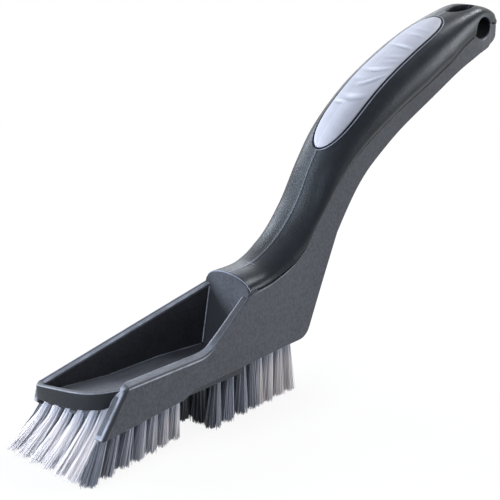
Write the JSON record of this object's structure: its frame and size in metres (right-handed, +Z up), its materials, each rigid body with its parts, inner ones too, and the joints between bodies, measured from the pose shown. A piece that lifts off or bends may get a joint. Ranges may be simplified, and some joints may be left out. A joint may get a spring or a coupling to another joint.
{
  "type": "window track brush",
  "caption": "Hand brush for window tracks: tapered head with an open tray, bristles in two sections, curved handle with a soft grip pad and a hanging eye.",
  "frame": {"origin": "under the middle of the overall length, on the plane of the bristle tips and on the plane midway between the side walls", "axes": "+X from the nose to the handle tip, +Y to the far wall, +Z up from the bristle tips"},
  "size_m": [0.2276, 0.0399, 0.1335],
  "materials": {
    "grey_plastic": "fine-grained matt, moulded edges",
    "dark_plastic": "satin with a fine grain",
    "soft_grip": "smooth matt with shallow ripples",
    "white_bristle": "fine filament",
    "grey_bristle": "fine filament",
    "dark_bristle": "fine filament",
    "steel_wire": "drawn wire"
  },
  "bodies": {
    "root": {"body": "grey_plastic", "handle_shell": "dark_plastic", "grip_pad": "soft_grip", "nose_bristles": "white_bristle", "nose_anchor_1": "steel_wire", "nose_anchor_2": "steel_wire", "nose_anchor_3": "steel_wire", "nose_anchor_4": "steel_wire", "nose_anchor_5": "steel_wire", "front_bristles": "grey_bristle", "front_anchor_1": "steel_wire", "front_anchor_2": "steel_wire", "front_anchor_3": "steel_wire", "front_anchor_4": "steel_wire", "front_anchor_5": "steel_wire", "front_anchor_6": "steel_wire", "front_anchor_7": "steel_wire", "front_anchor_8": "steel_wire", "front_anchor_9": "steel_wire", "front_anchor_10": "steel_wire", "front_anchor_11": "steel_wire", "front_anchor_12": "steel_wire", "front_anchor_13": "steel_wire", "front_anchor_14": "steel_wire", "front_anchor_15": "steel_wire", "front_anchor_16": "steel_wire", "front_anchor_17": "steel_wire", "front_anchor_18": "steel_wire", "front_anchor_19": "steel_wire", "front_anchor_20": "steel_wire", "front_anchor_21": "steel_wire", "front_anchor_22": "steel_wire", "front_anchor_23": "steel_wire", "front_anchor_24": "steel_wire", "rear_dark_bristles": "dark_bristle", "rear_dark_anchor_1": "steel_wire", "rear_dark_anchor_2": "steel_wire", "rear_dark_anchor_3": "steel_wire", "rear_dark_anchor_4": "steel_wire", "rear_dark_anchor_5": "steel_wire", "rear_dark_anchor_6": "steel_wire", "rear_dark_anchor_7": "steel_wire", "rear_dark_anchor_8": "steel_wire", "rear_dark_anchor_9": "steel_wire", "rear_dark_anchor_10": "steel_wire", "rear_dark_anchor_11": "steel_wire", "rear_dark_anchor_12": "steel_wire", "rear_dark_anchor_13": "steel_wire", "rear_dark_anchor_14": "steel_wire", "rear_dark_anchor_15": "steel_wire", "rear_white_bristles": "white_bristle", "rear_white_anchor_1": "steel_wire", "rear_white_anchor_2": "steel_wire", "rear_white_anchor_3": "steel_wire", "rear_white_anchor_4": "steel_wire", "rear_white_anchor_5": "steel_wire", "rear_white_anchor_6": "steel_wire", "rear_white_anchor_7": "steel_wire", "rear_white_anchor_8": "steel_wire"}
  },
  "joints": []
}
